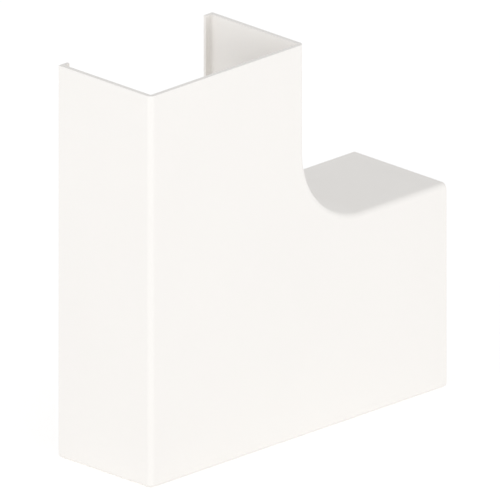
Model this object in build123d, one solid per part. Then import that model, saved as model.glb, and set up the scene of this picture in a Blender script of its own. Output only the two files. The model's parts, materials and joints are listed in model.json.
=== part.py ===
from build123d import *
import os

# A flat angle for cable trunking: one moulded cover, shaped like an L, that closes the corner where
# two lengths of trunking meet at right angles on the same wall.
#
# Frame, in millimetres: +X runs along the side arm, +Z up the upright arm, and +Y from the front
# plate back to the wall. The origin is the middle of the overall box, at its lowest face.

# The trunking that the cover goes over
trunking_width = 100.0
trunking_depth = 60.0
side_slip = 0.3  # clearance each side of the trunking
front_slip = 0.8  # clearance between the trunking's lid and the front plate

# The moulding
wall = 2.5  # front plate and side walls
leg = 97.4  # how far each arm runs past the inner wall of the other
inner_corner_radius = 41.0  # the sweep between the two inner walls, on the outside
edge_radius = 3.0  # rounding round the front plate and down the outer corner
cavity_edge_radius = 0.5  # the same edges, inside

# The hooked lip along the back of every wall, which springs into the groove of the trunking's base
lip_reach = 3.6  # from the wall's inner face
lip_thickness = 1.6
lip_root_radius = 1.5  # in the corner between the lip and its wall
lip_edge_radius = 0.3  # along the free edge of the lip

# Worked out
arm_width = trunking_width + 2 * (side_slip + wall)
arm_length = arm_width + leg
depth = trunking_depth + front_slip + wall
front_face = -depth / 2
back_face = depth / 2
lip_front = back_face - lip_thickness
past_end = wall  # how far a cutter runs out of the two open ends


def outline(inset, overrun=0.0):
    """The L as a face in XZ, with every walled side lying inset further in than the outside.

    The two open ends lie overrun beyond the moulding's own, and the sweep between the inner walls
    keeps its centre.
    """
    near, far, end = inset, arm_width - inset, arm_length + overrun
    sweep_radius = inner_corner_radius + inset
    sweep_centre = far + sweep_radius
    sweep = CenterArc((sweep_centre, sweep_centre), sweep_radius, 180, 90)
    sides = Polyline(sweep @ 1, (end, far), (end, near), (near, near), (near, end), (far, end), sweep @ 0)
    return make_face(sides + sweep)


def prism(face, front, back):
    """An outline made solid from Y = front to Y = back."""
    sketch_plane = Plane(origin=(-arm_length / 2, back, 0), x_dir=(1, 0, 0), z_dir=(0, -1, 0))
    return extrude(sketch_plane * face, amount=back - front)


def walled(edges, y, overrun=0.0):
    """Those of the edges that lie at Y = y, without the ones that cross an open end."""
    right_end = arm_length / 2 + overrun
    top_end = arm_length + overrun
    at_y = edges.filter_by_position(Axis.Y, y, y)
    return at_y.filter_by(lambda e: e.center().X < right_end - 0.01 and e.center().Z < top_end - 0.01)


def outer_corner(solid):
    """The edge of a prism that runs from front to back where the two outer walls meet."""
    return solid.edges().filter_by(Axis.Y).sort_by(lambda e: e.center().X + e.center().Z)[:1]


def envelope():
    """The outside of the moulding, rounded round its front and down its outer corner."""
    block = prism(outline(0), front_face, back_face)
    return fillet(walled(block.edges(), front_face) + outer_corner(block), edge_radius)


def cavity():
    """The room for the trunking, from the front plate back to the lips and out of both open ends."""
    room = prism(outline(wall, past_end), front_face + wall, lip_front)
    front_edges = walled(room.edges(), front_face + wall, past_end)
    room = fillet(front_edges + outer_corner(room), cavity_edge_radius)
    return fillet(walled(room.edges(), lip_front, past_end), lip_root_radius)


def way_in():
    """The opening between the lips, through which the trunking passes."""
    return prism(outline(wall + lip_reach, past_end), lip_front - lip_root_radius, back_face + past_end)


def flat_angle():
    """The whole cover, in one piece, with the free edges of its lips rounded."""
    shell = envelope() - cavity()
    opening = way_in()
    cover = shell - opening
    lip_edges = new_edges(shell, opening, combined=cover)
    return fillet(walled(lip_edges, lip_front) + walled(lip_edges, back_face), lip_edge_radius)


os.makedirs("parts", exist_ok=True)
cover = flat_angle()
export_step(cover, "parts/flat_angle.step")
print("size", cover.bounding_box().size, "volume", round(cover.volume), "solids", len(cover.solids()))
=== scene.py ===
# %% [markdown]
# A flat angle for cable trunking
#
# The cover in this lesson is one piece of moulded plastic. It goes over the corner where two lengths
# of trunking meet at right angles on a wall, and it is shaped like an L: a front plate with walls
# round it, a wide sweep between the two inner walls, and a hooked lip along the back of every wall.
#
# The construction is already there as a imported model. It is loaded first and never moved, because
# everything else takes its place and size from it.

import json
from math import cos, radians, sin

import bpy
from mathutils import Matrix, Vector


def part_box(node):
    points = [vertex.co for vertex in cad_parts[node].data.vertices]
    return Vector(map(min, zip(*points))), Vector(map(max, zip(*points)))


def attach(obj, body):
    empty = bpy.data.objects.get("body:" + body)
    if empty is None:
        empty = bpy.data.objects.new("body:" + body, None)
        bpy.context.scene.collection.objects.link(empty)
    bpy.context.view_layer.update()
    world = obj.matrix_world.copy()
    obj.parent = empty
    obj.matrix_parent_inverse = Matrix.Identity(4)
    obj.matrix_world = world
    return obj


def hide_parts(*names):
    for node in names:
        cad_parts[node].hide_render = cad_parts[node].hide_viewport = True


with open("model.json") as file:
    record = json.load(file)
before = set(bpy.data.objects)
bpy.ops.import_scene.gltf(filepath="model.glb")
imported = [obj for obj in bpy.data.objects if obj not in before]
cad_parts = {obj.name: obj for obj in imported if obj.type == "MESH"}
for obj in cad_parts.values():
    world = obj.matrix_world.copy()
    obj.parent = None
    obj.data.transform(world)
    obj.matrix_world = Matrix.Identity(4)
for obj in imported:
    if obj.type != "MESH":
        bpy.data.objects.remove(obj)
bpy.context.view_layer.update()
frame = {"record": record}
low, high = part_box("flat_angle")
print("the cover is", [round(1000 * side, 1) for side in high - low], "mm")

# %% [markdown]
# Sizes
#
# The overall box comes from the frame, and so does the width of an arm: the mount at the upright
# arm's open end sits on the arm's centre line. The sizes that a box can't tell, such as the wall and
# the roundings, are the moulding's own and are named here once.

# %% Name the sizes
mounts = {mount["name"]: Vector(mount["pos_m"]) for mount in frame["record"]["mounts"]}
arm_width = 2 * (mounts["upright_end"].x - low.x)
arm_length = high.x - low.x
leg = arm_length - arm_width  # how far each arm runs past the inner wall of the other

wall = 0.0025
sweep_radius = 0.041  # outside, between the two inner walls
edge_radius = 0.003  # outside, round the front plate and down the outer corner
cavity_edge_radius = edge_radius - wall
lip_reach = 0.0036  # from the inside of the wall to the lip's free edge
lip_thickness = 0.0016
lip_root_radius = 0.0015  # in the corner between the lip and its wall
edge_break = 0.00015  # the slight rounding that a mould leaves on every other edge
print("each arm is", round(1000 * arm_width, 1), "mm wide, and runs on for", round(1000 * leg, 1), "mm")

# %% [markdown]
# Camera
#
# The picture is a parallel projection: edges that are parallel on the cover are parallel in it. So
# the camera is orthographic, and only its direction and scale matter. The direction comes from the
# slopes of the edges, which run down at 0.345 to both sides. Seen from 45 degrees to the left, that
# slope is the sine of the elevation. The camera then moves sideways until one corner of the cover
# lies where the picture has it. The Standard view transform shows each colour as it is written.

# %% Set up the camera
picture_size = 500  # pixels
pixels_per_metre = 2063
azimuth = radians(-45)
elevation = radians(20.25)
corner_in_picture = (150.7, 490.2)  # pixels: the lowest front corner, before its rounding
camera_distance = 1.5  # metres, which has no effect on the scale

back = Vector((sin(azimuth) * cos(elevation), -cos(azimuth) * cos(elevation), sin(elevation)))
right = Vector((cos(azimuth), sin(azimuth), 0))
up = back.cross(right)

to_the_right = (picture_size / 2 - corner_in_picture[0]) / pixels_per_metre
upwards = (corner_in_picture[1] - picture_size / 2) / pixels_per_metre
centre_of_view = low + right * to_the_right + up * upwards

bpy.ops.object.camera_add(location=centre_of_view + back * camera_distance)
camera = bpy.context.object
camera.rotation_euler = back.to_track_quat("Z", "Y").to_euler()
camera.data.type = "ORTHO"
camera.data.ortho_scale = picture_size / pixels_per_metre
bpy.context.scene.camera = camera
bpy.context.scene.view_settings.view_transform = "Standard"
print("the picture is", round(1000 * camera.data.ortho_scale, 1), "mm wide")

# %% [markdown]
# Light from all round
#
# White plastic on white needs even light. Too much from one side blows a face out, and with no
# difference between faces the corners between them are lost. Most of the light comes from the world,
# evenly from all round, at a level below one that leaves room for the lamps. The camera still has to
# see pure white behind the cover, and so have reflections. Light Path tells those rays from the ones
# that light the scene, and a Mix Shader gives each kind its own background.
#
# Between two white faces light goes back and forth many times before it is spent. Cycles drops it
# after four bounces, which would leave the hollow too dark and draw a dark line between the floor and
# the cover's rounded foot. Twelve are enough for both.

# %% Set up the world
def camera_sees(nodes, links):
    """A value of one for rays that come from the camera, a reflection or clear material, else zero."""
    path = nodes.new("ShaderNodeLightPath")
    seen = path.outputs["Is Camera Ray"]
    for ray in ("Is Glossy Ray", "Is Transmission Ray"):
        either = nodes.new("ShaderNodeMath")
        either.operation = "MAXIMUM"
        links.new(seen, either.inputs[0])
        links.new(path.outputs[ray], either.inputs[1])
        seen = either.outputs[0]
    return seen


pure_white = (1, 1, 1, 1)
world_level = 0.705
light_bounces = 12

world = bpy.data.worlds.new("studio")
bpy.context.scene.world = world
world.use_nodes = True
nodes, links = world.node_tree.nodes, world.node_tree.links
nodes.clear()
room_light = nodes.new("ShaderNodeBackground")
room_light.inputs["Color"].default_value = pure_white
room_light.inputs["Strength"].default_value = world_level
white_backdrop = nodes.new("ShaderNodeBackground")
white_backdrop.inputs["Color"].default_value = pure_white
white_backdrop.inputs["Strength"].default_value = 1
mix = nodes.new("ShaderNodeMixShader")
output = nodes.new("ShaderNodeOutputWorld")
links.new(camera_sees(nodes, links), mix.inputs["Fac"])
links.new(room_light.outputs[0], mix.inputs[1])
links.new(white_backdrop.outputs[0], mix.inputs[2])
links.new(mix.outputs[0], output.inputs["Surface"])
bpy.context.scene.cycles.diffuse_bounces = light_bounces
print("the world lights the cover at", world_level, "and its light bounces up to", light_bounces, "times")

# %% [markdown]
# Two lamps
#
# Two wide lamps stand on the floor, far out, and each faces one of the two walls that the camera
# sees. Both are aimed at the corner between those walls, so that they lift the front plate and the
# left wall by the same amount, light the rounded corner only a little more, and leave what faces up a
# step darker. They are three times as tall as the cover, so that some of their light passes over its
# rim and reaches down into the open end.

# %% Add the lamps
lamp_width = 2.0
lamp_height = 0.6
lamp_distance = 2.5
lamp_turn = radians(51)  # away from the camera's direction, to either side
lamp_watts = 18.5
aim = Vector((low.x, low.y, low.z + lamp_height / 2))  # on the corner's line, level with the lamps


def add_lamp(name, turn):
    """A wide lamp on the floor that faces the corner, turned away from the camera's direction."""
    direction = azimuth + turn
    to_lamp = Vector((sin(direction), -cos(direction), 0))
    bpy.ops.object.light_add(type="AREA", location=aim + to_lamp * lamp_distance)
    lamp = bpy.context.object
    lamp.name = name
    lamp.rotation_euler = to_lamp.to_track_quat("Z", "Y").to_euler()
    lamp.data.shape = "RECTANGLE"
    lamp.data.size = lamp_width
    lamp.data.size_y = lamp_height
    lamp.data.energy = lamp_watts
    print(name, "has", lamp_watts, "W")


add_lamp("front_lamp", lamp_turn)
add_lamp("left_lamp", -lamp_turn)

# %% [markdown]
# Floor
#
# The cover stands on its bottom wall. The floor under it lights it from below, as pale paper would.
# To the camera the paper glows a little on top of the light that falls on it, so that it reads as
# pure white where nothing shades it and still keeps the cover's soft shadow.

# %% Lay the floor
floor_size = 6.0
paper_colour = (0.96, 0.96, 0.96, 1)
floor_glow = 0.32

bpy.ops.mesh.primitive_plane_add(size=floor_size, location=(0, 0, low.z))
floor = bpy.context.object
floor.name = "floor"
paper = bpy.data.materials.new("white_paper")
paper.use_nodes = True
nodes, links = paper.node_tree.nodes, paper.node_tree.links
nodes.clear()
matt = nodes.new("ShaderNodeBsdfDiffuse")
matt.inputs["Color"].default_value = paper_colour
glow = nodes.new("ShaderNodeEmission")
glow.inputs["Color"].default_value = pure_white
glow.inputs["Strength"].default_value = floor_glow
both = nodes.new("ShaderNodeAddShader")
links.new(matt.outputs[0], both.inputs[0])
links.new(glow.outputs[0], both.inputs[1])
mix = nodes.new("ShaderNodeMixShader")
output = nodes.new("ShaderNodeOutputMaterial")
links.new(camera_sees(nodes, links), mix.inputs["Fac"])
links.new(matt.outputs[0], mix.inputs[1])
links.new(both.outputs[0], mix.inputs[2])
links.new(mix.outputs[0], output.inputs["Surface"])
floor.data.materials.append(paper)
print("the floor is", floor_size, "m across")

# %% [markdown]
# Picking faces and edges
#
# By hand, a face or an edge is clicked before an operator acts on it. Here it is picked by where it
# lies and which way it points, so that the pick still holds when a size changes. An operator acts on
# all that is selected, so the object is made the only selected one first.

# %% Pick by place and direction
tiny = 0.00001  # two places this close are one
aligned = 0.9  # the share of a direction that lies along an axis, past which it counts as parallel


def work_on(block):
    """Makes this object the active one and the only one selected."""
    bpy.ops.object.select_all(action="DESELECT")
    block.select_set(True)
    bpy.context.view_layer.objects.active = block


def pick(block, kind, test):
    """Goes into edit mode with just those faces or edges selected whose centre and direction pass."""
    bpy.ops.object.mode_set(mode="EDIT")
    bpy.ops.mesh.select_mode(type=kind)
    bpy.ops.mesh.select_all(action="DESELECT")
    bpy.ops.object.mode_set(mode="OBJECT")
    mesh = block.data
    if kind == "FACE":
        for face in mesh.polygons:
            face.select = test(face.center, face.normal)
        picked = sum(face.select for face in mesh.polygons)
    else:
        for edge in mesh.edges:
            start, end = (mesh.vertices[i].co for i in edge.vertices)
            edge.select = test((start + end) / 2, (end - start).normalized())
        picked = sum(edge.select for edge in mesh.edges)
    bpy.ops.object.mode_set(mode="EDIT")
    return picked


print("places within", 1000 * tiny, "mm of each other count as one")

# %% [markdown]
# The L as a block
#
# A moulded shell could be drawn as one sheet and thickened with Solidify, but the lips are thinner
# than the walls and would need work afterwards. It is easier to think as the toolmaker does: the
# outside is one block, the core that fills the inside is another, and the gap between them is what
# the plastic fills. A third block opens the way in between the lips. All three are the same L, so one
# function models them.
#
# It starts from a cube on the corner where the arms meet, pushes one face up and one face out, merges
# the flat faces that this leaves in pieces, and bevels the one inner corner into the sweep.

# %% Model the outside, the cavity and the way in
sweep_segments = 40
flat_within = radians(1)  # faces that turn by less than this are one
past_end = 0.01  # how far a cutter runs out of the open ends


def l_block(name, inset, overrun, front, rear):
    """An L-shaped block whose walled sides lie inset inside the cover's, round the same sweep centre."""
    square = arm_width - 2 * inset
    centre = Vector((low.x + arm_width / 2, (front + rear) / 2, low.z + arm_width / 2))
    inner_corner = centre + Vector((square / 2, 0, square / 2))
    reach = leg + inset + overrun
    bpy.ops.object.select_all(action="DESELECT")
    bpy.ops.mesh.primitive_cube_add(size=1, location=centre, scale=(square, rear - front, square))
    block = bpy.context.object
    block.name = name
    bpy.ops.object.transform_apply(location=True, rotation=True, scale=True)

    pick(block, "FACE", lambda place, normal: normal.z > aligned)
    bpy.ops.mesh.extrude_region_move(TRANSFORM_OT_translate={"value": (0, 0, reach)})
    pick(block, "FACE", lambda place, normal: normal.x > aligned and place.z < inner_corner.z)
    bpy.ops.mesh.extrude_region_move(TRANSFORM_OT_translate={"value": (reach, 0, 0)})
    bpy.ops.mesh.select_all(action="SELECT")
    bpy.ops.mesh.dissolve_limited(angle_limit=flat_within)

    def where_arms_meet(place, along):
        return abs(along.y) > aligned and (place - inner_corner).length < tiny

    pick(block, "EDGE", where_arms_meet)
    bpy.ops.mesh.bevel(offset=sweep_radius + inset, segments=sweep_segments, affect="EDGES")
    bpy.ops.object.mode_set(mode="OBJECT")
    print(name, "has", len(block.data.polygons), "faces")
    return block


lip_front = high.y - lip_thickness
cover = l_block("cover", 0, 0, low.y, high.y)
cavity = l_block("cavity", wall, past_end, low.y + wall, lip_front)
way_in = l_block("way_in", wall + lip_reach, past_end, lip_front - wall, high.y + past_end)

# %% [markdown]
# Roundings
#
# A mould has no sharp inside edges, so the front plate's outline is rounded on the outside, and so is
# the outer corner. Inside, the same edges have the radius that is left when the wall is taken off,
# and the root of the lip has a larger one, which keeps it from tearing as it springs open.
#
# Edges are picked by where they lie: those at one depth that don't cross an open end. Each gets a
# bevel weight, the share that its radius has of the largest, and then one Bevel modifier rounds them
# all. Done one after the other, a large rounding that runs into a small one crosses itself.

# %% Round the blocks' edges
cover_segments = 10
cavity_segments = 6


def round_walled_edges(block, radii, segments):
    """Rounds the edges at the front and the rear by their radii, but none across an open end.

    The edge down the outer corner, which runs from front to rear, is rounded with the front.
    """
    places = [vertex.co for vertex in block.data.vertices]
    near = Vector([min(place[axis] for place in places) for axis in range(3)])
    far = Vector([max(place[axis] for place in places) for axis in range(3)])
    largest = max(radii.values())

    def walled(place):
        return place.x < far.x - tiny and place.z < far.z - tiny

    def at_front(place, along):
        if abs(along.y) > aligned:
            return place.x < near.x + tiny and place.z < near.z + tiny
        return walled(place) and place.y < near.y + tiny

    def at_rear(place, along):
        return abs(along.y) < aligned and walled(place) and place.y > far.y - tiny

    tests = {"front": at_front, "rear": at_rear}
    work_on(block)
    for side, radius in radii.items():
        picked = pick(block, "EDGE", tests[side])
        bpy.ops.transform.edge_bevelweight(value=radius / largest)
        bpy.ops.object.mode_set(mode="OBJECT")
        print(block.name, "has", picked, "edges at the", side, "rounded at", round(1000 * radius, 2), "mm")
    bpy.ops.object.modifier_add(type="BEVEL")
    rounding = block.modifiers[-1]
    rounding.width = largest
    rounding.segments = segments
    rounding.limit_method = "WEIGHT"
    rounding.use_clamp_overlap = False
    bpy.ops.object.modifier_apply(modifier=rounding.name)


round_walled_edges(cover, {"front": edge_radius}, cover_segments)
round_walled_edges(cavity, {"front": cavity_edge_radius, "rear": lip_root_radius}, cavity_segments)

# %% [markdown]
# Cutting
#
# A Boolean modifier with the exact solver takes the cavity out of the block, and then the way in
# between the lips. Both cutters run past the open ends, and the way in runs past the back too, so no
# two faces lie in one plane, which is what a Boolean handles worst.

# %% Cut the cover out
def cut(block, cutter):
    """Takes the cutter away from the block, and removes the cutter."""
    work_on(block)
    bpy.ops.object.modifier_add(type="BOOLEAN")
    boolean = block.modifiers[-1]
    boolean.operation = "DIFFERENCE"
    boolean.solver = "EXACT"
    boolean.object = cutter
    bpy.ops.object.modifier_apply(modifier=boolean.name)
    bpy.data.objects.remove(cutter)


cut(cover, cavity)
cut(cover, way_in)
print("the cut cover has", len(cover.data.polygons), "faces")

# %% [markdown]
# Edges and shading
#
# Even an edge that the drawing calls sharp comes out of a mould with a slight rounding, and it is
# that thin line of light that makes a rim look real from close by. A Bevel modifier that goes by
# angle does every such edge at once. Weighted Normal then lets the large flat faces keep their own
# direction, so that the shading turns only in the roundings.

# %% Break the edges and smooth the shading
break_segments = 3
sharp_from = radians(60)  # edges that turn by more get the break
smooth_up_to = radians(40)  # edges that turn by less are shaded as one surface

work_on(cover)
bpy.ops.object.modifier_add(type="BEVEL")
breaking = cover.modifiers[-1]
breaking.width = edge_break
breaking.segments = break_segments
breaking.limit_method = "ANGLE"
breaking.angle_limit = sharp_from
bpy.ops.object.modifier_apply(modifier=breaking.name)

bpy.ops.object.shade_smooth_by_angle(angle=smooth_up_to)
bpy.ops.object.modifier_add(type="WEIGHTED_NORMAL")
weighting = cover.modifiers[-1]
weighting.weight = 100  # the most that large faces can count for
weighting.keep_sharp = True
bpy.ops.object.modifier_apply(modifier=weighting.name)
print("the finished cover has", len(cover.data.polygons), "faces")

# %% [markdown]
# White plastic
#
# The cover is moulded in one warm white all through, with a satin skin: the mould is finely
# blasted, so that the plastic hides fingermarks and matches painted walls. A real skin is never
# quite even. The white shifts by less than a hundredth where the melt flowed, the sheen drifts a
# little from place to place, and a fine grain breaks up the highlights. A painted image could show
# this, but the cover would have to be unwrapped for it, and its pixels would show from close by. So
# each of the three is a noise texture on Object coordinates, which has its true size everywhere and
# stays put on every face.

# %% Make the plastic
palest = (0.924, 0.902, 0.874, 1)
deepest = (0.916, 0.894, 0.866, 1)  # the record's base colour lies halfway between the two
plastic_ior = 1.5
roughness_range = (0.42, 0.50)
grain_depth = 0.0001
grain_strength = 0.3
noise_low, noise_high = 0.3, 0.7  # most of a noise lies between these


def noise(nodes, links, coordinates, per_metre, detail):
    """A noise texture with that many features to the metre."""
    texture = nodes.new("ShaderNodeTexNoise")
    texture.inputs["Scale"].default_value = per_metre
    texture.inputs["Detail"].default_value = detail
    links.new(coordinates, texture.inputs["Vector"])
    return texture.outputs["Fac"]


def white_plastic():
    """Satin, warm white moulded plastic."""
    plastic = bpy.data.materials.new("satin_white")
    plastic.use_nodes = True
    nodes, links = plastic.node_tree.nodes, plastic.node_tree.links
    shader = nodes["Principled BSDF"]
    shader.inputs["IOR"].default_value = plastic_ior
    place = nodes.new("ShaderNodeTexCoord").outputs["Object"]

    flow = nodes.new("ShaderNodeValToRGB")
    flow.color_ramp.elements[0].position = noise_low
    flow.color_ramp.elements[0].color = deepest
    flow.color_ramp.elements[1].position = noise_high
    flow.color_ramp.elements[1].color = palest
    links.new(noise(nodes, links, place, per_metre=14, detail=2), flow.inputs["Fac"])
    links.new(flow.outputs["Color"], shader.inputs["Base Color"])

    sheen = nodes.new("ShaderNodeMapRange")
    sheen.inputs["From Min"].default_value = noise_low
    sheen.inputs["From Max"].default_value = noise_high
    sheen.inputs["To Min"].default_value = roughness_range[0]
    sheen.inputs["To Max"].default_value = roughness_range[1]
    links.new(noise(nodes, links, place, per_metre=60, detail=3), sheen.inputs["Value"])
    links.new(sheen.outputs["Result"], shader.inputs["Roughness"])

    grain = nodes.new("ShaderNodeBump")
    grain.inputs["Strength"].default_value = grain_strength
    grain.inputs["Distance"].default_value = grain_depth
    links.new(noise(nodes, links, place, per_metre=2600, detail=2), grain.inputs["Height"])
    links.new(grain.outputs["Normal"], shader.inputs["Normal"])
    return plastic


cover.data.materials.clear()
cover.data.materials.append(white_plastic())
print("the cover has", len(cover.data.materials), "material:", cover.data.materials[0].name)

# %% [markdown]
# Handing over
#
# The modelled cover takes the place of the imported solid, which goes on serving the physics unseen.
# It rides on the only body there is. It must not be larger than the solid.

# %% Hand the cover to the frame
cover.name = "trunking_cover"
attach(cover, "root")
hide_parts("flat_angle")
